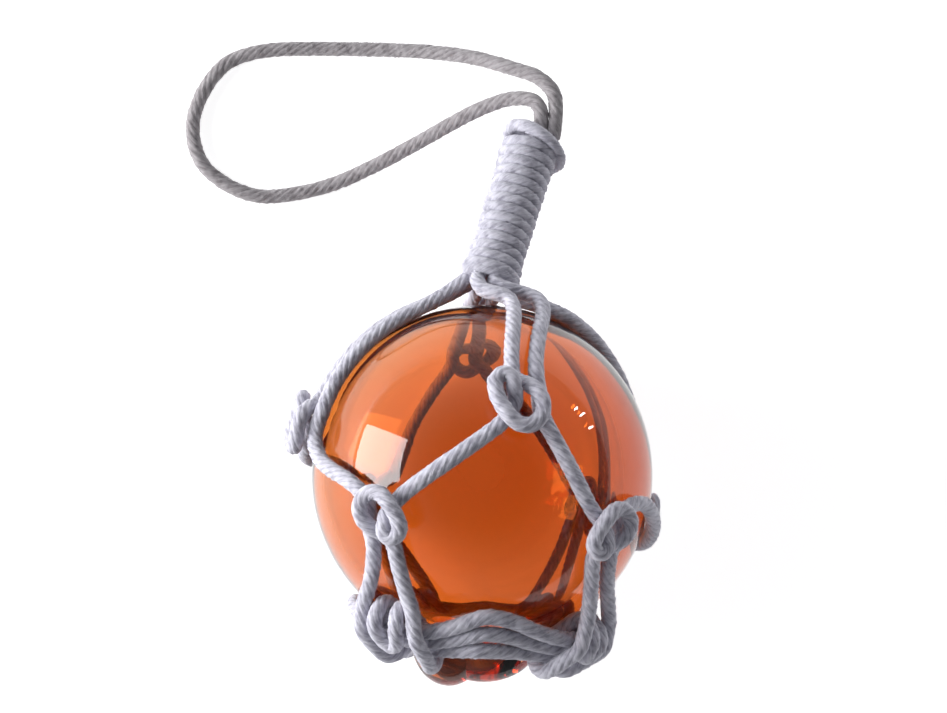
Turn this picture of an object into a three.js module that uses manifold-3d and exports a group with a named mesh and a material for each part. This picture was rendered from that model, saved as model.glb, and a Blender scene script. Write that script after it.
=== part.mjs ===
// Glass float ball in a knotted cord net, lying on its side.
// Millimetres, +Z up. The neck of the net points along +Y, the floor is z = 0.
import * as THREE from "three";
import { mergeVertices } from "three/addons/utils/BufferGeometryUtils.js";
import Module from "manifold-3d";

const wasm = await Module();
wasm.setup();

// Glass ball: a 3 inch float with a flat spot to rest on and a seal button at its foot.
const BALL_R = 38.1;
const REST_CUT = 0.4;
const BALL_SIDES = 40;
const BALL_RINGS = 20;
const CENTRE = new THREE.Vector3(0, 0, BALL_R - REST_CUT);
const SEAL_LOBES = [
  { at: [-7.4, -37.3, -3.0], radii: [8.6, 10.4, 8.8] },
  { at: [0.5, -37.1, -2.0], radii: [12.5, 9.6, 7.2] },
  { at: [-0.6, -36.6, -6.0], radii: [8.4, 7.8, 5.6] },
];

// Net cord: laid cotton, drawn a little thinner than the space it is given.
const CORD_D = 3.4;
const CORD_R = 1.56;
const CORD_SIDES = 6;

// Base ring: the cord wound three times around the seal.
const RING_AXIS = new THREE.Vector3(-0.07, -0.99, 0.08).normalize();
const RING_POLAR = THREE.MathUtils.degToRad(34.5);
const RING_DROP = 34.6;
const RING_TURNS = 3;
const RING_STEPS = 26;
const HITCH_AZIMUTHS = [63, 140, 208, 324].map(THREE.MathUtils.degToRad);

// Knots of the net, as millimetre offsets from the ball's centre, going round to the right.
const UPPER_KNOTS = [
  [7.3, 17.5, 37.6],
  [35.6, -11.5, -19.5],
  [0.5, 24.0, -31.0],
  [-39.4, 12.1, 8.8],
];
const LOWER_KNOTS = [
  [26.4, -10.0, 31.0],
  [26.0, -8.0, -30.0],
  [-23.0, -8.0, -33.0],
  [-20.8, -6.4, 36.0],
];

// How far each kind of knot is drawn together, across and along the net.
const UPPER_SIZE = [0.95, 0.87];
const LOWER_SIZE = [0.9, 0.74];

// Whipped neck and the loop that hangs from it.
const NECK_FOOT = new THREE.Vector3(1.5, 43.6, 38.0);
const NECK_TOP = new THREE.Vector3(12.0, 76.8, 27.0);
const NECK_R = 6.2;
const NECK_BENDS = [[6.0, 39.6, 10.0], [12.6, 39.2, 8.0]];
const NECK_TURNS = 15;
const NECK_SIDES = 12;
const LOOP_SIDES = 8;
const LOOP_STEP = 5.0;

// Shared knot, in cord diameters: [to the right, up the net, out from the glass].
const HELD = [
  [1.1, 3.0, 0.5], [1.25, 1.9, 0.5], [1.4, 0.7, 0.5], [1.6, -0.8, 0.5], [2.2, -2.1, 0.5], [3.0, -3.1, 0.5],
];
const HITCHED = [
  [-0.3, 3.0, 0.5], [-0.25, 2.1, 0.6], [0.1, 1.5, 0.75], [0.7, 1.1, 1.2], [1.2, 0.35, 1.7],
  [1.45, -0.7, 1.75], [0.9, -1.75, 1.5], [-0.1, -1.8, 1.5], [-0.95, -0.7, 1.6], [-1.4, 0.7, 1.6],
  [-1.05, 1.75, 1.65], [-0.35, 1.6, 1.75], [0.05, 0.8, 1.35], [-0.15, -0.3, 0.75], [-0.9, -1.3, 0.5],
  [-2.0, -2.4, 0.5],
];
// One leg of the hitch on the base ring, from the net down, round the ring and up to its fold.
const RING_LEG = [
  [-1.0, 2.6, 1.2], [-1.4, 1.4, 2.1], [-1.6, 0.2, 2.5], [-1.35, -1.1, 2.4],
  [-0.85, -1.9, 1.7], [-0.6, -1.9, 0.8], [-0.58, -0.9, 0.5], [-0.58, 0.6, 0.5], [-0.58, 1.7, 0.6],
  [-0.55, 2.3, 1.3], [-0.55, 1.8, 2.3], [-0.53, 0.9, 2.65],
];
const FOLD = [0, 0.1, 2.8];

const vec = (list) => new THREE.Vector3(...list);
const MIRROR = (list) => list.map(([s, t, n]) => [-s, t, n]);
const TURN_OVER = (list) => list.map(([s, t, n]) => [s, -t, n]).reverse();

function ringFrame() {
  const front = new THREE.Vector3(0, 0, 1).addScaledVector(RING_AXIS, -RING_AXIS.z).normalize();
  const right = front.clone().cross(RING_AXIS).normalize();
  return { front, right: right.x < 0 ? right.negate() : right };
}

function ringDirection(azimuth, polar = RING_POLAR) {
  const { front, right } = ringFrame();
  const side = front.multiplyScalar(Math.cos(azimuth)).addScaledVector(right, Math.sin(azimuth));
  return RING_AXIS.clone().multiplyScalar(Math.cos(polar)).addScaledVector(side, Math.sin(polar));
}

// A local frame on the glass: out from the ball, up the net and to the right.
function localFrame(direction, upTo) {
  const out = direction.clone().normalize();
  const up = upTo.clone().addScaledVector(out, -upTo.dot(out)).normalize();
  return { out, up, right: up.clone().cross(out) };
}

function place(frame, [s, t, n]) {
  const direction = frame.out.clone()
    .addScaledVector(frame.right, (s * CORD_D) / BALL_R)
    .addScaledVector(frame.up, (t * CORD_D) / BALL_R)
    .normalize();
  return CENTRE.clone().addScaledVector(direction, BALL_R + n * CORD_D);
}

// A knot's points, drawn together to its size.
function knot(frame, points, [across, along]) {
  return points.map(([s, t, n]) => place(frame, [s * across, t * along, n]));
}

const NECK_AXIS = NECK_TOP.clone().sub(NECK_FOOT).normalize();
const NECK_SIDE = new THREE.Vector3(1, 0, 0).addScaledVector(NECK_AXIS, -NECK_AXIS.x).normalize();
const NECK_FACE = NECK_SIDE.clone().cross(NECK_AXIS).normalize();

// Where a strand enters the foot of the neck, on a circle of eight strands, and a point just before it.
function neckPort(index) {
  const a = ((index + 0.5) / 8) * 2 * Math.PI;
  const radius = CORD_D * 1.42;
  const port = NECK_FOOT.clone()
    .addScaledVector(NECK_FACE, radius * Math.cos(a))
    .addScaledVector(NECK_SIDE, radius * Math.sin(a));
  return [port, port.clone().addScaledVector(NECK_AXIS, -0.8 * CORD_D)];
}

function resample(points, step) {
  const curve = new THREE.CatmullRomCurve3(points, false, "centripetal");
  curve.arcLengthDivisions = points.length * 16;
  return curve.getSpacedPoints(Math.max(4, Math.round(curve.getLength() / step)));
}

const upperFrames = UPPER_KNOTS.map((k) => localFrame(vec(k), NECK_FOOT.clone().sub(CENTRE)));
const lowerFrames = LOWER_KNOTS.map((k) => localFrame(vec(k), NECK_FOOT.clone().sub(CENTRE)));
const hitchFrames = HITCH_AZIMUTHS.map((a) => localFrame(ringDirection(a), RING_AXIS.clone().negate()));

// One of the four net cords: down one strand, round the base ring and back up the other.
function netCordRoute(i) {
  const j = (i + 1) % 4;
  const mirrored = i % 2 === 1;
  const lower = mirrored ? [MIRROR(HELD), MIRROR(HITCHED)] : [HITCHED, HELD];
  const bends = NECK_BENDS.map((bend) => vec(bend).add(CENTRE));
  const down = [
    ...neckPort(2 * i),
    ...(i === 0 ? [bends[1]] : []),
    ...knot(upperFrames[i], HELD, UPPER_SIZE),
    ...knot(lowerFrames[i], TURN_OVER(lower[0]), LOWER_SIZE),
    ...knot(hitchFrames[i], RING_LEG, [1, 1]),
    place(hitchFrames[i], FOLD),
  ];
  const up = [
    ...neckPort(2 * j - 1),
    ...(j === 0 ? [bends[0]] : []),
    ...knot(upperFrames[j], HITCHED, UPPER_SIZE),
    ...knot(lowerFrames[i], TURN_OVER(lower[1]), LOWER_SIZE),
    ...knot(hitchFrames[i], MIRROR(RING_LEG), [1, 1]),
  ];
  return resample([...down, ...up.reverse()], CORD_D * 0.42);
}

// The wound ring: it stands clear of the glass, twists as it goes round, and lies close at the hitches.
function baseRingRoute() {
  const clear = BALL_R + 0.57 * CORD_D;
  const points = [];
  for (let k = 0; k <= RING_TURNS * RING_STEPS; k += 1) {
    const turn = k / RING_STEPS;
    const azimuth = HITCH_AZIMUTHS[3] + turn * 2 * Math.PI;
    const nearest = Math.min(...HITCH_AZIMUTHS.map((h) => Math.abs(Math.sin((azimuth - h) / 2)) * 2));
    const lift = THREE.MathUtils.smoothstep(0.66 - nearest, 0, 0.3);
    const row = (turn - RING_TURNS / 2) * CORD_D;
    const polar = RING_POLAR + row / (BALL_R + 1.5 * CORD_D);
    const held = ringDirection(azimuth, polar).multiplyScalar(BALL_R + 1.6 * CORD_D);
    const front = Math.max(0, Math.cos(azimuth + 0.4)) ** 2;
    const drop = RING_DROP - 2.2 * front;
    const slant = THREE.MathUtils.degToRad(55) * (1 - 0.75 * front);
    const out = 1.15 * Math.sin(slant);
    const over = 1.15 * Math.cos(slant);
    const reach = [-CORD_D, 0, CORD_D]
      .map((r) => Math.sqrt(clear ** 2 - (drop - r * over) ** 2) - r * out);
    const point = RING_AXIS.clone().multiplyScalar(drop - row * over)
      .addScaledVector(ringDirection(azimuth, Math.PI / 2), Math.max(...reach) + row * out)
      .lerp(held, lift);
    point.multiplyScalar(Math.max(1, clear / point.length())).add(CENTRE);
    point.z = Math.max(point.z, CORD_D * 0.5);
    points.push(point);
  }
  return points;
}

// How freely each point of a cord is drawn straight: little where it is knotted or bent at the neck.
function slackAt(point, tied) {
  const toTied = Math.min(...tied.map((k) => point.distanceTo(k))) / CORD_D;
  return 0.35 * THREE.MathUtils.clamp((toTied - 2) / 1.5, 0.06, 1);
}

// Every two points that may touch, but not neighbours on one cord or two points at rest.
function nearPairs(points, owner, rest) {
  const pairs = [];
  for (let i = 0; i < points.length; i += 1) {
    for (let j = i + 1; j < points.length; j += 1) {
      const near = points[i].distanceToSquared(points[j]) < (1.7 * CORD_D) ** 2;
      const apart = owner[i] !== owner[j] || j - i > 4;
      if (near && apart && !(rest[i] && rest[j])) pairs.push([i, j]);
    }
  }
  return pairs;
}

// Draws the cords tight over the glass without letting them pass through one another.
function settle(routes, fixedRoutes) {
  const gap = CORD_D * 1.11;
  const points = [...routes, ...fixedRoutes].flat();
  const owner = [...routes, ...fixedRoutes].flatMap((route, r) => route.map(() => r));
  const rest = points.map((p, i) => {
    const end = owner[i - 2] !== owner[i] || owner[i + 2] !== owner[i];
    return end || owner[i] >= routes.length;
  });
  const frames = [...upperFrames, ...lowerFrames, ...hitchFrames];
  const knots = frames.map(({ out }) => out.clone().setLength(BALL_R + 4));
  const tied = [...knots, ...NECK_BENDS.map(vec)].map((k) => k.add(CENTRE));
  const slack = points.map((p) => slackAt(p, tied));
  let pairs = [];
  for (let round = 0; round < 150; round += 1) {
    if (round % 10 === 0) pairs = nearPairs(points, owner, rest);
    const smooth = points.map((p, i) => {
      if (rest[i] || round >= 90) return p.clone();
      return p.clone().lerp(points[i - 1].clone().add(points[i + 1]).multiplyScalar(0.5), slack[i]);
    });
    points.forEach((p, i) => p.copy(smooth[i]));
    for (let pass = 0; pass < 4; pass += 1) {
      const push = points.map(() => new THREE.Vector3());
      const hits = points.map(() => 0);
      for (const [i, j] of pairs) {
        const away = points[i].clone().sub(points[j]);
        const distance = Math.max(away.length(), 1e-6);
        if (distance >= gap) continue;
        const share = rest[i] || rest[j] ? 1 : 0.5;
        away.multiplyScalar(((gap - distance) / distance) * share * 0.9);
        push[i].add(away);
        push[j].sub(away);
        hits[i] += 1;
        hits[j] += 1;
      }
      points.forEach((p, i) => {
        if (rest[i]) return;
        p.addScaledVector(push[i], 1 / Math.max(1, hits[i] / 1.6));
        const offset = p.clone().sub(CENTRE);
        const least = BALL_R + CORD_D * 0.55;
        if (offset.length() < least) p.copy(CENTRE).add(offset.setLength(least));
        const above = p.clone().sub(NECK_FOOT).dot(NECK_AXIS) + CORD_D * 0.42;
        if (above > 0) p.addScaledVector(NECK_AXIS, -above);
        p.z = Math.max(p.z, CORD_D * 0.5);
      });
    }
  }
  let start = 0;
  return routes.map((route) => {
    start += route.length;
    return points.slice(start - route.length, start);
  });
}

// Keeps few points on straight runs and enough in the bends.
function thin(points) {
  const kept = [points[0]];
  let bend = 0;
  let run = 0;
  for (let i = 1; i < points.length - 1; i += 1) {
    const before = points[i].clone().sub(points[i - 1]);
    const after = points[i + 1].clone().sub(points[i]);
    bend += before.angleTo(after);
    run += before.length();
    const nearEnd = i === 2 || i === points.length - 3;
    if (nearEnd || bend > 0.56 || run > 2.2 * CORD_D) {
      kept.push(points[i]);
      bend = 0;
      run = 0;
    }
  }
  return [...kept, points[points.length - 1]];
}

// A capped tube of even radius along a route, carried without twist.
function tube(points, radius, sides) {
  const vertices = [];
  const faces = [];
  let normal = null;
  points.forEach((p, i) => {
    const before = points[Math.max(0, i - 1)];
    const after = points[Math.min(points.length - 1, i + 1)];
    const along = after.clone().sub(before).normalize();
    normal = normal ?? new THREE.Vector3(along.y, -along.x, 0.01);
    normal = normal.addScaledVector(along, -normal.dot(along)).normalize();
    const across = along.clone().cross(normal);
    for (let k = 0; k < sides; k += 1) {
      const a = (k / sides) * 2 * Math.PI;
      const v = p.clone().addScaledVector(normal, radius * Math.cos(a));
      vertices.push(v.addScaledVector(across, radius * Math.sin(a)));
    }
  });
  for (let i = 0; i + 1 < points.length; i += 1) {
    for (let k = 0; k < sides; k += 1) {
      const a = i * sides + k;
      const b = i * sides + ((k + 1) % sides);
      faces.push([a, b, b + sides], [a, b + sides, a + sides]);
    }
  }
  const last = (points.length - 1) * sides;
  for (let k = 1; k + 1 < sides; k += 1) {
    faces.push([0, k + 1, k], [last, last + k, last + k + 1]);
  }
  return closedGeometry(vertices, faces);
}

function closedGeometry(vertices, faces) {
  const geometry = new THREE.BufferGeometry();
  const places = vertices.flatMap((v) => v.toArray());
  geometry.setAttribute("position", new THREE.Float32BufferAttribute(places, 3));
  geometry.setIndex(faces.flat());
  return geometry;
}

function toSolid(geometry) {
  const source = geometry.clone();
  source.deleteAttribute("normal");
  source.deleteAttribute("uv");
  const bare = mergeVertices(source, 1e-4);
  return new wasm.Manifold(new wasm.Mesh({
    numProp: 3,
    vertProperties: new Float32Array(bare.attributes.position.array),
    triVerts: new Uint32Array(bare.index.array),
  }));
}

function toGeometry(solid) {
  const mesh = solid.getMesh();
  const geometry = new THREE.BufferGeometry();
  geometry.setAttribute("position", new THREE.Float32BufferAttribute(Array.from(mesh.vertProperties), 3));
  geometry.setIndex(Array.from(mesh.triVerts));
  return geometry;
}

function ellipsoid({ at, radii }, sides, rings) {
  const geometry = new THREE.SphereGeometry(1, sides, rings);
  geometry.scale(...radii);
  geometry.translate(...vec(at).add(CENTRE).toArray());
  return toSolid(geometry);
}

function glassBall() {
  const sphere = new THREE.SphereGeometry(BALL_R, BALL_SIDES, BALL_RINGS);
  sphere.translate(...CENTRE.toArray());
  let solid = toSolid(sphere);
  for (const lobe of SEAL_LOBES) solid = solid.add(ellipsoid(lobe, 14, 8));
  const above = new THREE.BoxGeometry(200, 200, 200).translate(0, 0, 100);
  return toGeometry(solid.intersect(toSolid(above)));
}

// The whipping: close turns of cord around the gathered strands, fuller at both ends.
function neckWrap() {
  const rings = NECK_TURNS * 3;
  const length = NECK_FOOT.distanceTo(NECK_TOP);
  const vertices = [];
  const faces = [];
  for (let i = 0; i <= rings; i += 1) {
    const u = i / rings;
    const fuller = 0.5 * Math.exp(-(((u - 0.06) / 0.07) ** 2)) + 0.4 * Math.exp(-(((u - 0.9) / 0.09) ** 2));
    for (let k = 0; k < NECK_SIDES; k += 1) {
      const a = (k / NECK_SIDES) * 2 * Math.PI;
      const turn = u * NECK_TURNS + k / NECK_SIDES;
      const edge = u === 0 || u === 1 ? -0.8 : 0;
      const radius = NECK_R + fuller + 0.42 * Math.cos(2 * Math.PI * turn) + edge;
      vertices.push(NECK_FOOT.clone()
        .addScaledVector(NECK_AXIS, 0.3 + u * (length - 0.3))
        .addScaledVector(NECK_FACE, radius * Math.cos(a))
        .addScaledVector(NECK_SIDE, radius * Math.sin(a)));
    }
  }
  for (let i = 0; i < rings; i += 1) {
    for (let k = 0; k < NECK_SIDES; k += 1) {
      const a = i * NECK_SIDES + k;
      const b = i * NECK_SIDES + ((k + 1) % NECK_SIDES);
      faces.push([a, b, b + NECK_SIDES], [a, b + NECK_SIDES, a + NECK_SIDES]);
    }
  }
  const last = rings * NECK_SIDES;
  for (let k = 1; k + 1 < NECK_SIDES; k += 1) {
    faces.push([0, k + 1, k], [last, last + k, last + k + 1]);
  }
  return toGeometry(toSolid(closedGeometry(vertices, faces)).add(topTurn()).add(tuckedEnd()));
}

// The last turn of the whipping rides up over the others, tilted.
function topTurn() {
  const geometry = new THREE.TorusGeometry(NECK_R + 0.1, 1.55, 6, 18);
  const tilt = NECK_AXIS.clone().addScaledVector(NECK_SIDE, -0.3).normalize();
  geometry.applyQuaternion(new THREE.Quaternion().setFromUnitVectors(new THREE.Vector3(0, 0, 1), tilt));
  const middle = NECK_TOP.clone().addScaledVector(NECK_AXIS, -3.4).addScaledVector(NECK_SIDE, 0.3);
  geometry.translate(...middle.toArray());
  return toSolid(geometry);
}

// The end of the whipping, tucked in beside the loop.
function tuckedEnd() {
  const geometry = new THREE.SphereGeometry(1, 10, 8);
  geometry.scale(2.5, 4.6, 3.0);
  const towards = NECK_AXIS.clone().addScaledVector(NECK_SIDE, 0.25).normalize();
  geometry.applyQuaternion(new THREE.Quaternion().setFromUnitVectors(new THREE.Vector3(0, 1, 0), towards));
  const middle = NECK_TOP.clone().addScaledVector(NECK_AXIS, -0.2).addScaledVector(NECK_SIDE, -4.2);
  geometry.translate(...middle.toArray());
  return toSolid(geometry);
}

// The hanging loop: out of the neck, down to the floor, round and back.
function loopRoute() {
  const lead = (side) => NECK_TOP.clone().addScaledVector(NECK_SIDE, side).addScaledVector(NECK_AXIS, 0.35);
  return [
    lead(4.4), [17.0, 83.0, 25.2], [16.4, 87.4, 23.6], [13.0, 91.0, 21.4], [6.5, 93.8, 17.6],
    [-2.0, 96.8, 12.4], [-12.0, 98.8, 7.2], [-24.0, 99.9, 3.4], [-37.0, 100.3, 1.9],
    [-48.3, 100.2, 1.75], [-55.0, 99.3, 1.75], [-61.2, 96.8, 1.75], [-66.0, 91.3, 1.75],
    [-68.9, 84.6, 1.75], [-69.1, 78.4, 1.75], [-66.7, 72.4, 1.75], [-60.5, 67.4, 1.75],
    [-53.3, 65.0, 1.75], [-44.0, 65.7, 1.75], [-34.9, 68.1, 2.2], [-25.7, 72.0, 4.2],
    [-16.6, 76.4, 7.8], [-7.5, 81.0, 12.6], [0.6, 84.6, 17.2], [7.4, 86.2, 20.8],
    [12.2, 85.2, 23.6], [13.6, 82.2, 25.4], lead(0.9),
  ].map((p) => (Array.isArray(p) ? vec(p) : p));
}

const glass = new THREE.MeshStandardMaterial({ color: 0xc4652f, roughness: 0.05, metalness: 0.0 });
const cotton = new THREE.MeshStandardMaterial({ color: 0xa8a6b3, roughness: 0.95, metalness: 0.0 });
const whipping = new THREE.MeshStandardMaterial({ color: 0xa4a2b2, roughness: 0.95, metalness: 0.0 });

const part = new THREE.Group();
function piece(name, geometry, material) {
  const mesh = new THREE.Mesh(geometry, material.clone());
  mesh.name = name;
  part.add(mesh);
}

const ringRoute = baseRingRoute();
const netRoutes = settle([0, 1, 2, 3].map(netCordRoute), [resample(ringRoute, CORD_D * 0.42)]);
piece("glass_ball", glassBall(), glass);
piece("base_ring", tube(ringRoute, CORD_R, CORD_SIDES), cotton);
netRoutes.forEach((route, i) => piece(`net_cord_${i + 1}`, tube(thin(route), CORD_R, CORD_SIDES), cotton));
piece("neck_whipping", neckWrap(), whipping);
piece("hanging_loop", tube(resample(loopRoute(), LOOP_STEP), CORD_R, LOOP_SIDES), cotton);

export default part;
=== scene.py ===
"""Glass float ball in a knotted cotton net, dressed for rendering."""

import logging
import math
from dataclasses import dataclass
from enum import Enum

import bpy
import numpy as np
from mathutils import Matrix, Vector


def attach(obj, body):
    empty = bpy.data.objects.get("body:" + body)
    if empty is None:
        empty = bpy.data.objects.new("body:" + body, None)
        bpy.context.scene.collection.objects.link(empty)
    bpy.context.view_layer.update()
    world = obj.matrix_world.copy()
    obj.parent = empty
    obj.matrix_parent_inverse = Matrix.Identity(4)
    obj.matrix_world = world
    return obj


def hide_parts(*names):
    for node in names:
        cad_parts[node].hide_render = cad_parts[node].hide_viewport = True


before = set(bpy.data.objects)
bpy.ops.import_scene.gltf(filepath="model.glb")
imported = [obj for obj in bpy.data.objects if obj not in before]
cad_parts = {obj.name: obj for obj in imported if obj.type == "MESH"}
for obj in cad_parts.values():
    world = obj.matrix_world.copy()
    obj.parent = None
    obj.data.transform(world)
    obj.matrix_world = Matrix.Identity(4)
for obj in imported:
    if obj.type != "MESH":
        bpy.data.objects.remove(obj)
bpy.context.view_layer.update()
LOG = logging.getLogger("float")
MM = 0.001


class Slot(Enum):
    """The material slots."""

    COTTON = "cotton_cord"
    GLASS = "amber_glass"


# --------------------------------------------------------------------------- curves


def unit(v: np.ndarray) -> np.ndarray:
    """Return v at length one."""
    return v / np.linalg.norm(v)


def smooth_curve(points: np.ndarray, step: float) -> np.ndarray:
    """Run a centripetal curve through points and divide it evenly.

    Args:
        points: (n, 3) points that the curve passes through.
        step: wanted distance between the returned points.

    Returns:
        (m, 3) evenly spaced points on the curve.
    """
    p = np.vstack([2 * points[0] - points[1], points, 2 * points[-1] - points[-2]])
    u = np.linspace(0, 1, 16, endpoint=False)[:, None]
    runs = []
    for a, b, c, d in zip(p[:-3], p[1:-2], p[2:-1], p[3:]):
        t0, t1, t2 = (max(np.linalg.norm(y - x), 1e-9) ** 0.5 for x, y in ((a, b), (b, c), (c, d)))
        m1 = ((b - a) / t0 - (c - a) / (t0 + t1) + (c - b) / t1) * t1
        m2 = ((c - b) / t1 - (d - b) / (t1 + t2) + (d - c) / t2) * t1
        runs.append(b + m1 * u + (3 * (c - b) - 2 * m1 - m2) * u**2 + (2 * (b - c) + m1 + m2) * u**3)
    dense = np.vstack(runs + [points[-1:]])
    along = np.concatenate([[0], np.cumsum(np.linalg.norm(np.diff(dense, axis=0), axis=1))])
    count = max(4, round(along[-1] / step))
    at = np.linspace(0, along[-1], count + 1)
    return np.column_stack([np.interp(at, along, dense[:, k]) for k in range(3)])


def length_of(points: np.ndarray) -> float:
    """Return the length of a run of points."""
    return float(np.linalg.norm(np.diff(points, axis=0), axis=1).sum())


# --------------------------------------------------------------------------- the net's plan, in mm


@dataclass
class NetPlan:
    """Where every cord of the net runs, worked out from the knots' places.

    All sizes are millimetres and match the solids of the part.
    """

    ball_r: float = 38.1
    rest_cut: float = 0.4
    cord_d: float = 3.4
    ring_axis: tuple = (-0.07, -0.99, 0.08)
    ring_polar: float = math.radians(34.5)
    ring_drop: float = 34.6
    ring_turns: int = 3
    ring_steps: int = 26
    ring_pitch: float = 1.15
    ring_slant: float = math.radians(55)
    ring_hold: float = 0.66
    ring_release: float = 0.3
    front_turn: float = 0.4
    front_rise: float = 2.2
    hitch_azimuths: tuple = tuple(math.radians(a) for a in (63, 140, 208, 324))
    upper_knots: tuple = ((7.3, 17.5, 37.6), (35.6, -11.5, -19.5), (0.5, 24.0, -31.0), (-39.4, 12.1, 8.8))
    lower_knots: tuple = (
        (26.4, -10.0, 31.0), (26.0, -8.0, -30.0), (-23.0, -8.0, -33.0), (-20.8, -6.4, 36.0),
    )
    neck_foot: tuple = (1.5, 43.6, 38.0)
    neck_top: tuple = (12.0, 76.8, 27.0)
    held: tuple = (
        (1.1, 3.0, 0.5), (1.25, 1.9, 0.5), (1.4, 0.7, 0.5),
        (1.6, -0.8, 0.5), (2.2, -2.1, 0.5), (3.0, -3.1, 0.5),
    )
    hitched: tuple = (
        (-0.3, 3.0, 0.5), (-0.25, 2.1, 0.6), (0.1, 1.5, 0.75), (0.7, 1.1, 1.2), (1.2, 0.35, 1.7),
        (1.45, -0.7, 1.75), (0.9, -1.75, 1.5), (-0.1, -1.8, 1.5), (-0.95, -0.7, 1.6), (-1.4, 0.7, 1.6),
        (-1.05, 1.75, 1.65), (-0.35, 1.6, 1.75), (0.05, 0.8, 1.35), (-0.15, -0.3, 0.75), (-0.9, -1.3, 0.5),
        (-2.0, -2.4, 0.5),
    )
    ring_leg: tuple = (
        (-1.0, 2.6, 1.2), (-1.4, 1.4, 2.1), (-1.6, 0.2, 2.5), (-1.35, -1.1, 2.4),
        (-0.85, -1.9, 1.7), (-0.6, -1.9, 0.8), (-0.58, -0.9, 0.5), (-0.58, 0.6, 0.5), (-0.58, 1.7, 0.6),
        (-0.55, 2.3, 1.3), (-0.55, 1.8, 2.3), (-0.53, 0.9, 2.65),
    )
    fold: tuple = (0.0, 0.1, 2.8)
    upper_size: tuple = (0.95, 0.87)
    lower_size: tuple = (0.9, 0.74)
    neck_bends: tuple = ((6.0, 39.6, 10.0), (12.6, 39.2, 8.0))
    settling_rounds: int = 150
    drawing_rounds: int = 90
    pushes_a_round: int = 4
    apart: float = 1.11
    nearby: float = 1.7

    def __post_init__(self) -> None:
        """Work out the frames that the routes are placed in."""
        self.route_step = self.cord_d * 0.42
        self.centre = np.array([0.0, 0.0, self.ball_r - self.rest_cut])
        self.clear = self.ball_r + 0.57 * self.cord_d
        self.foot = np.array(self.neck_foot)
        self.top = np.array(self.neck_top)
        self.neck_axis = unit(self.top - self.foot)
        self.neck_side = unit(np.array([1.0, 0, 0]) - self.neck_axis[0] * self.neck_axis)
        self.neck_face = np.cross(self.neck_side, self.neck_axis)
        axis = unit(np.array(self.ring_axis))
        front = unit(np.array([0, 0, 1.0]) - axis[2] * axis)
        right = unit(np.cross(front, axis))
        self.ring_frame = (axis, front, right if right[0] > 0 else -right)
        up = self.foot - self.centre
        self.upper = [self.local_frame(np.array(k), up) for k in self.upper_knots]
        self.lower = [self.local_frame(np.array(k), up) for k in self.lower_knots]
        hitches = [self.ring_direction(a, self.ring_polar) for a in self.hitch_azimuths]
        self.hitch = [self.local_frame(direction, -axis) for direction in hitches]

    def local_frame(self, direction: np.ndarray, up_to: np.ndarray) -> tuple:
        """Return the right, up and out directions at a place on the glass.

        Args:
            direction: from the ball's centre to the place.
            up_to: a direction that the frame's up leans towards.

        Returns:
            Three unit vectors.
        """
        out = unit(direction)
        up = unit(up_to - np.dot(up_to, out) * out)
        return np.cross(up, out), up, out

    def ring_direction(self, azimuth: float, polar: float) -> np.ndarray:
        """Return the direction of a place on the base ring.

        Args:
            azimuth: angle round the ring, from the front.
            polar: angle from the ring's axis.

        Returns:
            A unit vector from the ball's centre.
        """
        axis, front, right = self.ring_frame
        side = front * math.cos(azimuth) + right * math.sin(azimuth)
        return axis * math.cos(polar) + side * math.sin(polar)

    def place(self, local: tuple, point: tuple) -> np.ndarray:
        """Place a point of a knot on the ball.

        Args:
            local: the knot's frame.
            point: cord diameters to the right, up and out.

        Returns:
            The point.
        """
        right, up, out = local
        s, t, n = (c * self.cord_d for c in point)
        direction = unit(out + right * s / self.ball_r + up * t / self.ball_r)
        return self.centre + direction * (self.ball_r + n)

    def knot(self, local: tuple, points: tuple, size: tuple) -> list:
        """Place a knot's points, drawn together to its size."""
        return [self.place(local, (s * size[0], t * size[1], n)) for s, t, n in points]

    def neck_port(self, index: int) -> list:
        """Return where a strand enters the foot of the neck.

        Args:
            index: which of the eight strands.

        Returns:
            The place in the foot, and a point just before it.
        """
        a = (index + 0.5) / 8 * 2 * math.pi
        port = self.foot + 1.42 * self.cord_d * (self.neck_face * math.cos(a) + self.neck_side * math.sin(a))
        return [port, port - 0.8 * self.cord_d * self.neck_axis]

    def tucked(self, end: np.ndarray) -> np.ndarray:
        """Return the points that carry a strand's end on into the neck."""
        inward, up = self.foot - end, self.neck_axis * self.cord_d
        return np.array([end + inward * k + up * t for k, t in ((0.12, 0.4), (0.3, 0.8))])

    def net_cord(self, i: int) -> np.ndarray:
        """Return the untightened route of one doubled net cord.

        Args:
            i: which cord, going round the ball to the right.

        Returns:
            Evenly spaced points.
        """
        j = (i + 1) % 4

        def mirror(points: tuple) -> list:
            """Turn a knot left for right."""
            return [(-s, t, n) for s, t, n in points]

        def turn_over(points: tuple) -> list:
            """Turn a knot upside down, run the other way."""
            return [(s, -t, n) for s, t, n in points][::-1]

        pair = (mirror(self.held), mirror(self.hitched)) if i % 2 else (self.hitched, self.held)
        bends = [self.centre + np.array(bend) for bend in self.neck_bends]
        down = self.neck_port(2 * i) + (bends[1:] if i == 0 else [])
        down += self.knot(self.upper[i], self.held, self.upper_size)
        down += self.knot(self.lower[i], turn_over(pair[0]), self.lower_size)
        down += [self.place(self.hitch[i], p) for p in self.ring_leg + (self.fold,)]
        back = self.neck_port(2 * j - 1) + (bends[:1] if j == 0 else [])
        back += self.knot(self.upper[j], self.hitched, self.upper_size)
        back += self.knot(self.lower[i], turn_over(pair[1]), self.lower_size)
        back += [self.place(self.hitch[i], p) for p in mirror(self.ring_leg)]
        return smooth_curve(np.array(down + back[::-1]), self.route_step)

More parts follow.
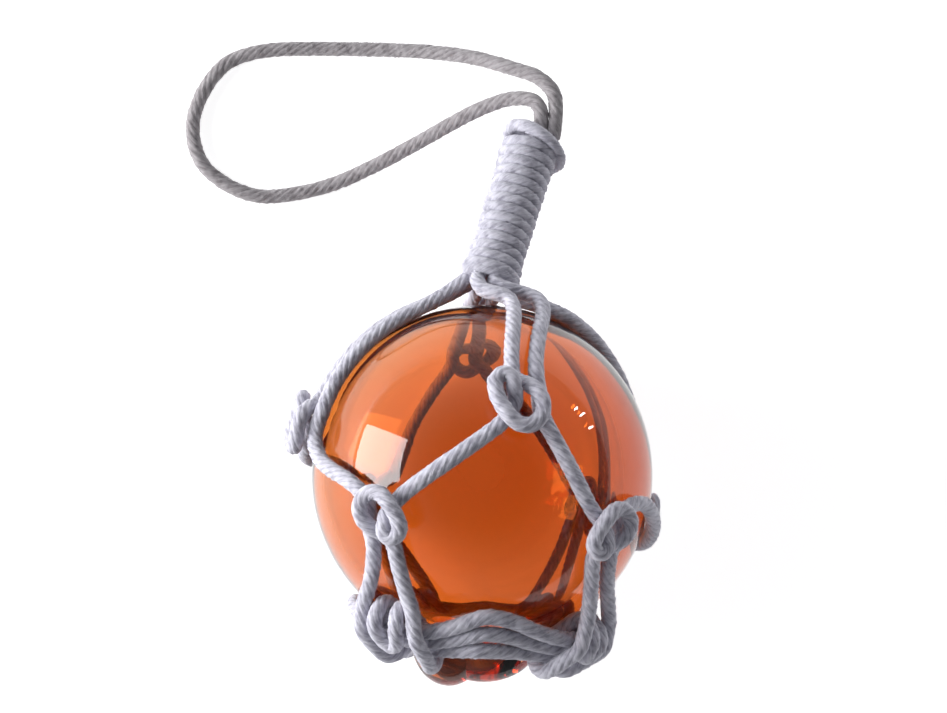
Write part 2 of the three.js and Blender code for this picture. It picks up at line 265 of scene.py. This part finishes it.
    def base_ring(self) -> np.ndarray:
        """Return the route of the cord wound round the seal.

        The turns stand away from the glass, and lie close to it where the net is hitched to them.

        Returns:
            One point for each step of each turn.
        """
        points = []
        for k in range(self.ring_turns * self.ring_steps + 1):
            turn = k / self.ring_steps
            azimuth = self.hitch_azimuths[3] + turn * 2 * math.pi
            nearest = min(abs(math.sin((azimuth - h) / 2)) * 2 for h in self.hitch_azimuths)
            x = min(max((self.ring_hold - nearest) / self.ring_release, 0), 1)
            lift = x * x * (3 - 2 * x)
            row = (turn - self.ring_turns / 2) * self.cord_d
            held = self.ring_direction(azimuth, self.ring_polar + row / (self.ball_r + 1.5 * self.cord_d))
            held = held * (self.ball_r + 1.6 * self.cord_d)
            front = max(0, math.cos(azimuth + self.front_turn)) ** 2
            drop = self.ring_drop - self.front_rise * front
            slant = self.ring_slant * (1 - 0.75 * front)
            out, over = self.ring_pitch * math.sin(slant), self.ring_pitch * math.cos(slant)
            rows = (-self.cord_d, 0, self.cord_d)
            reach = [math.sqrt(self.clear**2 - (drop - r * over) ** 2) - r * out for r in rows]
            side = self.ring_direction(azimuth, math.pi / 2)
            free = self.ring_frame[0] * (drop - row * over) + side * (max(reach) + row * out)
            point = free * (1 - lift) + held * lift
            point = self.centre + point * max(1.0, self.clear / np.linalg.norm(point))
            point[2] = max(point[2], self.cord_d * 0.5)
            points.append(point)
        return np.array(points)

    def settled(self) -> tuple:
        """Draw the cords tight over the glass without passing them through one another.

        Returns:
            The four net cords' routes and the base ring's route.
        """
        ring = smooth_curve(self.base_ring(), self.route_step)
        routes = [self.net_cord(i) for i in range(4)]
        sizes = [len(r) for r in routes]
        p = np.vstack(routes + [ring])
        owner = np.concatenate([np.full(len(r), i) for i, r in enumerate(routes + [ring])])
        n = len(p)
        index = np.arange(n)

        def from_end(shift: int) -> np.ndarray:
            """Tell which points have the end of their cord within shift."""
            return owner[np.clip(index + shift, 0, n - 1)] != owner

        rest = (owner == 4) | from_end(-2) | from_end(2) | (index < 2) | (index > n - 3)
        gap = self.cord_d * self.apart
        knots = [f[2] * (self.ball_r + 4) for f in self.upper + self.lower + self.hitch]
        tied = self.centre + np.array(knots + list(self.neck_bends))
        to_knot = np.linalg.norm(p[:, None, :] - tied[None], axis=2).min(axis=1) / self.cord_d
        slack = 0.35 * np.clip((to_knot - 2.0) / 1.5, 0.06, 1.0)[:, None]
        for turn in range(self.settling_rounds):
            if turn % 10 == 0:
                square = (p**2).sum(1)
                apart = square[:, None] + square[None, :] - 2 * p @ p.T
                near = apart < (self.nearby * self.cord_d) ** 2
                a, b = np.nonzero(np.triu(near, 1))
                keep = ~(rest[a] & rest[b]) & ((owner[a] != owner[b]) | (np.abs(a - b) > 4))
                a, b = a[keep], b[keep]
                share = np.where(rest[a] | rest[b], 1.0, 0.5)
            pull = slack if turn < self.drawing_rounds else 0.0
            mid = (p[np.clip(index - 1, 0, n - 1)] + p[np.clip(index + 1, 0, n - 1)]) / 2
            p = np.where(rest[:, None], p, p * (1 - pull) + mid * pull)
            for _ in range(self.pushes_a_round):
                away = p[a] - p[b]
                distance = np.maximum(np.linalg.norm(away, axis=1), 1e-6)
                hit = distance < gap
                move = away * (hit * (gap - distance) / distance * share * 0.9)[:, None]
                push = np.zeros_like(p)
                count = np.zeros(n)
                np.add.at(push, a, move)
                np.add.at(push, b, -move)
                np.add.at(count, a, hit)
                np.add.at(count, b, hit)
                free = ~rest
                p[free] += push[free] / np.maximum(1, count[free] / 1.6)[:, None]
                offset = p - self.centre
                radius = np.linalg.norm(offset, axis=1)
                least = self.ball_r + self.cord_d * 0.55
                low = free & (radius < least)
                p[low] = self.centre + offset[low] * (least / radius[low])[:, None]
                above = (p - self.foot) @ self.neck_axis + self.cord_d * 0.42
                high = free & (above > 0)
                p[high] -= above[high][:, None] * self.neck_axis
                p[free, 2] = np.maximum(p[free, 2], self.cord_d * 0.5)
        cuts = np.cumsum(sizes)
        return np.split(p[: cuts[-1]], cuts[:-1]), ring


# --------------------------------------------------------------------------- materials


class Nodes:
    """Builds a node tree with short calls."""

    def __init__(self, owner: bpy.types.ID) -> None:
        """Start with an empty tree on a new material or world."""
        owner.use_nodes = True
        self.owner = owner
        self.tree = owner.node_tree
        self.tree.nodes.clear()

    def add(self, kind: str, values: dict | None = None, **settings: object) -> bpy.types.Node:
        """Add a node.

        Args:
            kind: the node's type name.
            values: input socket name or number to value or output socket.
            **settings: properties of the node.

        Returns:
            The new node.
        """
        node = self.tree.nodes.new(kind)
        for key, value in settings.items():
            setattr(node, key, value)
        for key, value in (values or {}).items():
            if isinstance(value, bpy.types.NodeSocket):
                self.tree.links.new(value, node.inputs[key])
            else:
                node.inputs[key].default_value = value
        return node

    def math(self, operation: str, *values: object) -> bpy.types.NodeSocket:
        """Add a math node and return its output."""
        node = self.add("ShaderNodeMath", dict(enumerate(values)), operation=operation)
        return node.outputs[0]

    def ramp(self, factor: bpy.types.NodeSocket, stops: tuple) -> bpy.types.NodeSocket:
        """Add a colour ramp.

        Args:
            factor: the socket that drives it.
            stops: (position, colour) pairs.

        Returns:
            The colour output.
        """
        node = self.add("ShaderNodeValToRGB", {0: factor})
        elements = node.color_ramp.elements
        while len(elements) < len(stops):
            elements.new(0.5)
        for element, (position, colour) in zip(elements, stops):
            element.position = position
            element.color = (*colour, 1.0)
        return node.outputs[0]


@dataclass(frozen=True)
class CottonFinish:
    """White laid cotton: matt, with painted shade darkening the grooves between the plies, and fine fibres.
    """

    name: str = "cotton_cord"
    light: tuple = (0.65, 0.64, 0.72)
    dark: tuple = (0.34, 0.33, 0.40)
    fibre_scale: float = 9.0

    def material(self) -> bpy.types.Material:
        """Build the cotton material.

        Returns:
            The new material.
        """
        n = Nodes(bpy.data.materials.new(self.name))
        uv = n.add("ShaderNodeUVMap", uv_map="fibre").outputs[0]
        here = n.add("ShaderNodeTexCoord").outputs["Object"]
        fibres = n.add(
            "ShaderNodeTexNoise",
            {"Vector": uv, "Scale": self.fibre_scale, "Detail": 4.0, "Roughness": 0.62},
            noise_dimensions="2D",
        ).outputs["Fac"]
        blotch = n.add("ShaderNodeTexNoise", {"Vector": here, "Scale": 480.0, "Detail": 3.0}).outputs["Fac"]
        # painted shade: the groove attribute darkens the colour in the grooves between the plies
        groove = n.add("ShaderNodeAttribute", attribute_name="groove").outputs["Fac"]
        tone = n.math("MULTIPLY_ADD", fibres, 0.45, n.math("MULTIPLY", blotch, 0.55))
        tone = n.math("MULTIPLY_ADD", groove, -0.12, tone)
        middle = tuple(0.4 * a + 0.6 * b for a, b in zip(self.dark, self.light))
        colour = n.ramp(tone, ((0.33, self.dark), (0.45, middle), (0.57, self.light)))
        height = n.math("MULTIPLY_ADD", blotch, 0.5, fibres)
        bump = n.add("ShaderNodeBump", {"Height": height, "Strength": 0.75, "Distance": 0.00022})
        shader = n.add(
            "ShaderNodeBsdfPrincipled",
            {"Base Color": colour, "Roughness": 0.93, "Normal": bump.outputs[0], "Sheen Weight": 0.35,
             "Sheen Roughness": 0.5, "Specular IOR Level": 0.2},
        )
        n.add("ShaderNodeOutputMaterial", {"Surface": shader.outputs[0]})
        return n.owner


@dataclass(frozen=True)
class GlassFinish:
    """Orange-amber blown glass, coloured through its thickness."""

    name: str = "amber_glass"
    through: tuple = (0.89, 0.55, 0.08)
    density: float = 330.0
    ior: float = 1.5

    def material(self) -> bpy.types.Material:
        """Build the glass material.

        Returns:
            The new material.
        """
        n = Nodes(bpy.data.materials.new(self.name))
        here = n.add("ShaderNodeTexCoord").outputs["Object"]
        waves = n.add("ShaderNodeTexNoise", {"Vector": here, "Scale": 42.0, "Detail": 2.0}).outputs["Fac"]
        bump = n.add("ShaderNodeBump", {"Height": waves, "Strength": 0.12, "Distance": 0.0006})
        shader = n.add(
            "ShaderNodeBsdfPrincipled",
            {"Base Color": (1.0, 0.985, 0.965, 1.0), "Roughness": 0.0, "IOR": self.ior,
             "Transmission Weight": 1.0, "Normal": bump.outputs[0]},
        )
        depth = {"Color": (*self.through, 1.0), "Density": self.density}
        volume = n.add("ShaderNodeVolumeAbsorption", depth)
        n.add("ShaderNodeOutputMaterial", {"Surface": shader.outputs[0], "Volume": volume.outputs[0]})
        return n.owner


# --------------------------------------------------------------------------- meshes


def finish_piece(piece: bpy.types.Object, material: bpy.types.Material, slot: Slot, *nodes: str) -> None:
    """Dress a piece and tie it to the frame.

    Args:
        piece: the finished object.
        material: what it is made of.
        slot: the material slot; not used.
        *nodes: the solids that it stands for.
    """
    piece.data.materials.clear()
    piece.data.materials.append(material)
    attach(piece, "root")
    if nodes:
        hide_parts(*nodes)
    LOG.info("%s: %d faces", piece.name, len(piece.data.polygons))


@dataclass
class Cord:
    """A laid cord along a route: left-handed plies with grooves between them.

    The route is in metres, and lay is the length of one full twist.
    """

    name: str
    route: np.ndarray
    diameter: float = 3.4 * MM
    lay: float = 16.8 * MM
    plies: int = 7
    sides: int = 28
    step: float = 0.36 * MM
    groove: float = 0.09
    wool: float = 0.034
    hairs_per_mm: float = 14.0
    hair_length: float = 0.8 * MM
    hair_width: float = 0.06 * MM
    hair_root: float = 0.05 * MM
    floor_gap: float = 0.05 * MM

    def build(self) -> bpy.types.Object:
        """Make the cord's mesh.

        Returns:
            The new object, at the origin.
        """
        path = smooth_curve(self.route, self.step)
        along = np.concatenate([[0], np.cumsum(np.linalg.norm(np.diff(path, axis=0), axis=1))])
        tangent = np.gradient(path, axis=0)
        tangent /= np.linalg.norm(tangent, axis=1)[:, None]
        theta = np.arange(self.sides) / self.sides * 2 * math.pi
        crest = np.abs(np.cos(theta * self.plies / 2)) ** 0.6
        skin = self.skin(path, tangent, along, theta, crest)
        dome = 0.02 * self.diameter
        verts = np.vstack([skin.reshape(-1, 3), path[0] - tangent[0] * dome, path[-1] + tangent[-1] * dome])
        hairs, hair_faces = self.hairs(skin, path, tangent, len(verts))
        mesh = bpy.data.meshes.new(self.name)
        mesh.from_pydata(verts.tolist() + hairs.tolist(), [], self.faces(len(path)) + hair_faces)
        # painted shade mask: the groove depth, 1 - crest on the skin and 0.4 at the end caps and on the
        # hairs
        depth = np.concatenate([np.tile(1 - crest, len(path)), np.full(2 + len(hairs), 0.4)])
        mesh.attributes.new("groove", "FLOAT", "POINT").data.foreach_set("value", depth.astype(np.float32))
        self.unwrap(mesh, along, theta, len(hairs))
        mesh.polygons.foreach_set("use_smooth", [True] * len(mesh.polygons))
        mesh.validate()
        piece = bpy.data.objects.new(self.name, mesh)
        bpy.context.collection.objects.link(piece)
        return piece

    def skin(
        self, path: np.ndarray, tangent: np.ndarray, along: np.ndarray, theta: np.ndarray, crest: np.ndarray
    ) -> np.ndarray:
        """Lay the twisted, slightly woolly surface round the path.

        Args:
            path: the cord's middle line.
            tangent: its direction at each point.
            along: how far along the cord each point is.
            theta: the angle of each side.
            crest: how high each side stands on its ply.

        Returns:
            One ring of points for each point of the path.
        """
        normal = np.zeros_like(path)
        carried = np.array([tangent[0][1], -tangent[0][0], 0.01])
        for i, t in enumerate(tangent):
            carried = unit(carried - np.dot(carried, t) * t)
            normal[i] = carried
        across = np.cross(tangent, normal)
        section = 1 - self.groove + self.groove * crest
        angle = theta[None, :] - (2 * math.pi * along / self.lay)[:, None]
        end = np.minimum(np.minimum(along, along[-1] - along) / (0.3 * self.diameter), 1.0)
        ring = section[None, :] * (0.55 + 0.45 * np.sqrt(1 - (1 - end) ** 2))[:, None] * self.diameter / 2
        wool = np.random.default_rng(len(path)).normal(0, self.wool, ring.shape)
        ring = ring * (1 + (wool + np.roll(wool, 1, axis=0) + np.roll(wool, 1, axis=1)) / 2)
        return (
            path[:, None, :]
            + normal[:, None, :] * (np.cos(angle) * ring)[..., None]
            + across[:, None, :] * (np.sin(angle) * ring)[..., None]
        )

    def faces(self, count: int) -> list:
        """Return the faces of the skin and of its two rounded ends.

        Args:
            count: how many rings of points the skin has.

        Returns:
            The quads, ring by ring, and then the ends' triangles.
        """
        grid = np.arange(count * self.sides).reshape(count, self.sides)
        right = np.roll(grid, -1, axis=1)
        quads = np.stack([grid[:-1], right[:-1], right[1:], grid[1:]], axis=-1).reshape(-1, 4).tolist()
        first, last = grid.size, grid.size + 1
        caps = [(first, int(b), int(a)) for a, b in zip(grid[0], right[0])]
        return quads + caps + [(last, int(a), int(b)) for a, b in zip(grid[-1], right[-1])]

    def unwrap(self, mesh: bpy.types.Mesh, along: np.ndarray, theta: np.ndarray, extra: int) -> None:
        """Give the cord a UV map that runs with its fibres.

        Args:
            mesh: the cord's mesh.
            along: how far along the cord each ring is.
            theta: the angle of each side.
            extra: how many points of loose fibre follow the skin's.
        """
        quad_corners = np.arange((len(along) - 1) * self.sides * 4)
        strays = np.linspace(0.0, along[-1], extra)
        s = np.concatenate([np.repeat(along, self.sides), [0.0, along[-1]], strays]) / self.diameter
        q = np.concatenate([np.tile(theta / (2 * math.pi), len(along)), np.full(2 + extra, 0.5)])
        corner = np.zeros(len(mesh.loops), dtype=np.int32)
        mesh.loops.foreach_get("vertex_index", corner)
        around = q[corner]
        seam = (quad_corners % 4 == 1) | (quad_corners % 4 == 2)
        wrapped = seam & (around[: len(quad_corners)] < 0.5 / self.sides)
        around[: len(quad_corners)][wrapped] = 1.0
        fibre = np.column_stack([s[corner] * 0.22, around * 3.1 + s[corner] * 0.16])
        uv = mesh.uv_layers.new(name="fibre")
        uv.data.foreach_set("uv", fibre.astype(np.float32).ravel())

    def hairs(self, skin: np.ndarray, path: np.ndarray, tangent: np.ndarray, first: int) -> tuple:
        """Make the loose fibre ends that stand off the cord, each a thin triangle.

        Args:
            skin: the cord's surface, as rings of points.
            path: the cord's middle line.
            tangent: its direction at each point.
            first: the number of the first new vertex.

        Returns:
            The new vertices and their faces.
        """
        chance = np.random.default_rng(len(path) + self.sides)
        count = int(length_of(path) / MM * self.hairs_per_mm)
        i = chance.integers(1, len(path) - 1, count)
        root = skin[i, chance.integers(0, self.sides, count)]
        out = root - path[i]
        out /= np.linalg.norm(out, axis=1)[:, None]
        lean = out + tangent[i] * chance.normal(0, 0.9, (count, 1)) + chance.normal(0, 0.35, (count, 3))
        lean /= np.linalg.norm(lean, axis=1)[:, None]
        tip = root + lean * chance.uniform(0.3, 1.0, (count, 1)) * self.hair_length
        tip[:, 2] = np.maximum(tip[:, 2], self.floor_gap)
        side = tangent[i] * self.hair_width / 2
        foot = root - out * self.hair_root
        verts = np.stack([foot - side, foot + side, tip], axis=1).reshape(-1, 3)
        return verts, [(first + 3 * k, first + 3 * k + 1, first + 3 * k + 2) for k in range(count)]


@dataclass
class NetWork:
    """The base ring and the four net cords."""

    plan: NetPlan
    finish: CottonFinish

    def build(self) -> None:
        """Lay every cord of the net on the ball and dress it."""
        routes, ring = self.plan.settled()
        material = self.finish.material()
        piece = Cord("base_ring_cord", ring * MM, step=0.45 * MM).build()
        finish_piece(piece, material, Slot.COTTON, "base_ring")
        for i, route in enumerate(routes):
            route = np.vstack([self.plan.tucked(route[0])[::-1], route, self.plan.tucked(route[-1])])
            piece = Cord(f"net_cord_{i + 1}_laid", route * MM).build()
            finish_piece(piece, material, Slot.COTTON, f"net_cord_{i + 1}")


@dataclass
class NeckWhipping:
    """Cord wound closely round the gathered strands, with a riding last turn."""

    plan: NetPlan
    finish: CottonFinish
    turns: int = 15
    turn_steps: int = 14
    twine: float = 2.75
    radius: float = 5.15
    core: float = 9.0

    def winding(self) -> np.ndarray:
        """Return the route of the whipping cord.

        Returns:
            Points in mm, from the foot of the neck to the end tucked in at its top.
        """
        p = self.plan
        steps = self.turn_steps
        start, stop = 0.3, float(np.linalg.norm(p.top - p.foot)) - 3.0
        points = []
        for k in range(self.turns * steps + 1):
            u = max(0, k / steps - 1) / (self.turns - 1)
            a = math.pi - 2 * math.pi * k / steps
            fuller = 0.5 * math.exp(-(((u - 0.04) / 0.07) ** 2))
            fuller += 0.35 * math.exp(-(((u - 0.92) / 0.09) ** 2))
            wobble = 0.12 * math.sin(2.3 * k) + 0.1 * math.sin(0.37 * k)
            rise = start + (stop - start) * u + 0.35 * math.sin(a + 0.6)
            points.append(self.around(a, self.radius + fuller + 0.3 * wobble, rise + wobble * 0.25))
        riding = steps + steps // 2 + 5
        for k in range(1, riding):
            a = math.pi - 2 * math.pi * k / steps
            ride = math.sin(min(k / (riding - steps), 1) * math.pi / 2)
            high = math.cos(a + 0.9)
            radius = self.radius + (1.4 - 0.9 * high) * ride
            points.append(self.around(a, radius, stop + 0.9 + 2.2 * high * ride))
        last = math.pi - 2 * math.pi * riding / steps
        points.append(self.around(last - 0.2, self.radius - 1.8, stop + 4.0))
        points.append(self.around(last - 0.9, self.radius - 3.2, stop + 2.0))
        return np.array(points)

    def around(self, angle: float, radius: float, rise: float) -> np.ndarray:
        """Return a point round the neck's axis.

        Args:
            angle: how far round it.
            radius: how far out from it, in mm.
            rise: how far up from the neck's foot, in mm.

        Returns:
            The point, in mm.
        """
        p = self.plan
        out = p.neck_face * math.cos(angle) + p.neck_side * math.sin(angle)
        return p.foot + p.neck_axis * rise + radius * out

    def build(self) -> None:
        """Wind the cord and close the neck's middle."""
        material = self.finish.material()
        route = self.winding() * MM
        cord = Cord("neck_whipping_cord", route, diameter=self.twine * MM, lay=9.5 * MM, sides=18,
                    step=0.4 * MM, groove=0.2)
        finish_piece(cord.build(), material, Slot.COTTON, "neck_whipping")
        p = self.plan
        inner = np.array([p.foot + p.neck_axis * r for r in (-1.8, 10.0, 20.0, 30.0, 35.6)]) * MM
        core = Cord("neck_gathered_strands", inner, diameter=self.core * MM, lay=90 * MM, plies=8, sides=64,
                    step=1.0 * MM, groove=0.16)
        finish_piece(core.build(), material, Slot.COTTON)


@dataclass
class HangingLoop:
    """The free cord that leaves the neck, lies on the floor and comes back."""

    plan: NetPlan
    finish: CottonFinish
    middle: tuple = (
        (17.0, 83.0, 25.2), (16.4, 87.4, 23.6), (13.0, 91.0, 21.4), (6.5, 93.8, 17.6),
        (-2.0, 96.8, 12.4), (-12.0, 98.8, 7.2), (-24.0, 99.9, 3.4), (-37.0, 100.3, 1.9),
        (-48.3, 100.2, 1.75), (-55.0, 99.3, 1.75), (-61.2, 96.8, 1.75), (-66.0, 91.3, 1.75),
        (-68.9, 84.6, 1.75), (-69.1, 78.4, 1.75), (-66.7, 72.4, 1.75), (-60.5, 67.4, 1.75),
        (-53.3, 65.0, 1.75), (-44.0, 65.7, 1.75), (-34.9, 68.1, 2.2), (-25.7, 72.0, 4.2),
        (-16.6, 76.4, 7.8), (-7.5, 81.0, 12.6), (0.6, 84.6, 17.2), (7.4, 86.2, 20.8),
        (12.2, 85.2, 23.6), (13.6, 82.2, 25.4),
    )

    def build(self) -> None:
        p = self.plan
        ends = [p.top + side * p.neck_side + 0.35 * p.neck_axis for side in (4.4, 0.9)]
        route = smooth_curve(np.array([ends[0], *self.middle, ends[1]]), 0.5) * MM
        cord = Cord("hanging_loop_cord", route)
        piece = cord.build()
        finish_piece(piece, self.finish.material(), Slot.COTTON, "hanging_loop")


@dataclass
class GlassBall:
    """The blown ball: outer skin with its seal, and the sealed air inside."""

    plan: NetPlan
    finish: GlassFinish
    wall: float = 6.0
    air_shift: tuple = (-1.0, 0.4, 0.6)
    air_shape: tuple = (1.03, 1.04, 0.93)
    unevenness: float = 2.2
    crease: float = math.radians(38.0)
    lobes: tuple = (
        ((-7.4, -37.3, -3.0), (8.6, 10.4, 8.8)),
        ((0.5, -37.1, -2.0), (12.5, 9.6, 7.2)),
        ((-0.6, -36.6, -6.0), (8.4, 7.8, 5.6)),
    )

    def sphere(self, name: str, centre: np.ndarray, radii: tuple, sides: int) -> bpy.types.Object:
        """Add a sphere shaped in edit mode.

        Args:
            name: the object's name.
            centre: its middle, in mm.
            radii: half its size along X, Y and Z, in mm.
            sides: how many sides it has round its axis.

        Returns:
            The new object, at the origin.
        """
        bpy.ops.object.select_all(action="DESELECT")
        bpy.ops.mesh.primitive_uv_sphere_add(segments=sides, ring_count=sides // 2, radius=MM)
        ball = bpy.context.object
        ball.name = name
        bpy.ops.object.mode_set(mode="EDIT")
        bpy.ops.mesh.select_all(action="SELECT")
        bpy.ops.transform.resize(value=radii)
        bpy.ops.transform.translate(value=tuple(centre * MM))
        bpy.ops.object.mode_set(mode="OBJECT")
        return ball

    def modify(self, piece: bpy.types.Object, kind: str, **settings: object) -> None:
        """Add a modifier to a piece and apply it.

        Args:
            piece: the object to change.
            kind: the modifier's type name.
            **settings: properties of the modifier.
        """
        bpy.ops.object.select_all(action="DESELECT")
        bpy.context.view_layer.objects.active = piece
        piece.select_set(True)
        modifier = piece.modifiers.new(kind.lower(), kind)
        for key, value in settings.items():
            setattr(modifier, key, value)
        bpy.ops.object.modifier_apply(modifier=modifier.name)

    def build(self) -> None:
        """Blow the ball, press on its seal, hollow it and dress it."""
        c = self.plan.centre
        r = self.plan.ball_r
        body = self.sphere("glass_ball_body", c, (r, r, r), 144)
        for k, (at, radii) in enumerate(self.lobes):
            lobe = self.sphere(f"lobe_{k}", c + np.array(at), radii, 56)
            self.modify(body, "BOOLEAN", object=lobe, operation="UNION", solver="EXACT")
            bpy.data.objects.remove(lobe)
        bpy.ops.object.select_all(action="DESELECT")
        bpy.context.view_layer.objects.active = body
        body.select_set(True)
        bpy.ops.object.mode_set(mode="EDIT")
        bpy.ops.mesh.select_all(action="SELECT")
        bpy.ops.mesh.bisect(plane_co=(0, 0, 0), plane_no=(0, 0, 1), clear_inner=True, use_fill=True)
        bpy.ops.object.mode_set(mode="OBJECT")
        radii = tuple((r - self.wall) * share for share in self.air_shape)
        air = self.sphere("sealed_air", c + np.array(self.air_shift), radii, 112)
        texture = bpy.data.textures.new("uneven_wall", "CLOUDS")
        texture.noise_scale = 0.045
        texture.noise_depth = 1
        depth = self.unevenness * MM
        self.modify(air, "DISPLACE", texture=texture, strength=depth, mid_level=0.5, texture_coords="LOCAL")
        self.modify(air, "SMOOTH", factor=0.5, iterations=12)
        bpy.ops.object.mode_set(mode="EDIT")
        bpy.ops.mesh.select_all(action="SELECT")
        bpy.ops.mesh.flip_normals()
        bpy.ops.object.mode_set(mode="OBJECT")
        body.select_set(True)
        bpy.context.view_layer.objects.active = body
        bpy.ops.object.join()
        bpy.ops.object.shade_smooth_by_angle(angle=self.crease)
        finish_piece(body, self.finish.material(), Slot.GLASS, "glass_ball")


@dataclass
class Studio:
    """Glowing pale floor, a window-like panel at the left, three small lamps and a shaded sky.

    The sky is brightest at the upper left and dim overhead.
    """

    plan: NetPlan
    distance: float = 0.5
    frame_width: float = 0.2121
    aim: tuple = (-0.0019, 0.0265)
    window_size: tuple = (0.36, 0.40)
    window_towards: tuple = (-0.944, 0.13, 0.30)
    window_power: float = 4.8
    far_lights: tuple = ((0.85, 0.52, 0.12), (0.84, 0.60, 0.16), (0.90, 0.40, 0.10))
    far_size: tuple = (0.010, 0.050)
    far_power: float = 0.06
    lamp_distance: float = 0.6
    sky: tuple = (0.93, 0.94, 0.97)
    sky_strength: float = 0.95
    ceiling: float = 0.22
    floor_glow: float = 0.79

    def build(self) -> None:
        """Set the floor, lights, sky and camera."""
        self.floor()
        self.panel("window", self.window_size, self.window_power, self.window_towards)
        for k, towards in enumerate(self.far_lights):
            self.panel(f"far_light_{k + 1}", self.far_size, self.far_power, towards)
        self.world()
        self.camera()

    def floor(self) -> None:
        """Lay the floor that the float rests on."""
        bpy.ops.object.select_all(action="DESELECT")
        bpy.ops.mesh.primitive_plane_add(size=4.0)
        floor = bpy.context.object
        floor.name = "studio_floor"
        n = Nodes(bpy.data.materials.new("pale_floor"))
        here = n.add("ShaderNodeTexCoord").outputs["Object"]
        grain = n.add("ShaderNodeTexNoise", {"Vector": here, "Scale": 3.0, "Detail": 2.0}).outputs["Fac"]
        colour = n.ramp(grain, ((0.3, (0.72, 0.72, 0.72)), (0.7, (0.75, 0.75, 0.75))))
        shader = n.add(
            "ShaderNodeBsdfPrincipled",
            {"Base Color": colour, "Roughness": 0.8, "Emission Color": (1.0, 1.0, 1.0, 1.0),
             "Emission Strength": self.floor_glow},
        )
        n.add("ShaderNodeOutputMaterial", {"Surface": shader.outputs[0]})
        floor.data.materials.append(n.owner)

    def world(self) -> None:
        """Shade the sky."""
        n = Nodes(bpy.data.worlds.new("studio"))
        towards = n.add("ShaderNodeTexCoord").outputs["Generated"]
        across, along, height = n.add("ShaderNodeSeparateXYZ", {"Vector": towards}).outputs
        dim = tuple(c * self.ceiling for c in self.sky)
        colour = n.ramp(height, ((0.35, self.sky), (0.85, dim)))
        shade = n.math("MULTIPLY_ADD", across, -0.34, n.math("MULTIPLY_ADD", along, 0.24, 0.68))
        strength = n.math("MULTIPLY", n.math("MAXIMUM", shade, 0.15), self.sky_strength)
        sky = n.add("ShaderNodeBackground", {"Color": colour, "Strength": strength})
        n.add("ShaderNodeOutputWorld", {"Surface": sky.outputs[0]})
        bpy.context.scene.world = n.owner

    def camera(self) -> None:
        """Look straight down at the float."""
        bpy.context.scene.view_settings.view_transform = "Standard"
        lens = bpy.data.cameras.new("camera")
        lens.sensor_width = 36.0
        lens.lens = 36.0 * self.distance / self.frame_width
        lens.clip_start = 0.01
        camera = bpy.data.objects.new("camera", lens)
        bpy.context.collection.objects.link(camera)
        camera.location = (*self.aim, self.plan.centre[2] * MM + self.distance)
        bpy.context.scene.camera = camera
        LOG.info("studio: camera %.2f m above the ball's middle", self.distance)

    def panel(self, name: str, size: tuple, power: float, towards: tuple) -> None:
        """Set a light panel facing the ball.

        Args:
            name: the light's name.
            size: its width and height, in metres.
            power: its power, in watts.
            towards: its direction from the ball's middle.
        """
        lamp = bpy.data.lights.new(name, "AREA")
        lamp.shape = "RECTANGLE"
        lamp.size, lamp.size_y = size
        lamp.energy = power
        light = bpy.data.objects.new(name, lamp)
        bpy.context.collection.objects.link(light)
        direction = unit(np.array(towards))
        light.location = self.plan.centre * MM + direction * self.lamp_distance
        light.rotation_euler = Vector(direction.tolist()).to_track_quat("Z", "Y").to_euler()


def main() -> None:
    """Build the studio and then the float, piece by piece."""
    logging.basicConfig(level=logging.INFO, format="%(name)s %(message)s")
    plan = NetPlan()
    cotton = CottonFinish()
    # painted shade: the hanging loop is the net's own cotton, painted darker as a shaded copy of it
    shaded_loop_cotton = CottonFinish("loop_cotton_painted_shade", light=(0.40, 0.375, 0.39), dark=(0.22, 0.20, 0.21))
    Studio(plan).build()
    HangingLoop(plan, shaded_loop_cotton).build()
    NetWork(plan, cotton).build()
    NeckWhipping(plan, cotton).build()
    GlassBall(plan, GlassFinish()).build()


if __name__ == "__main__":
    main()
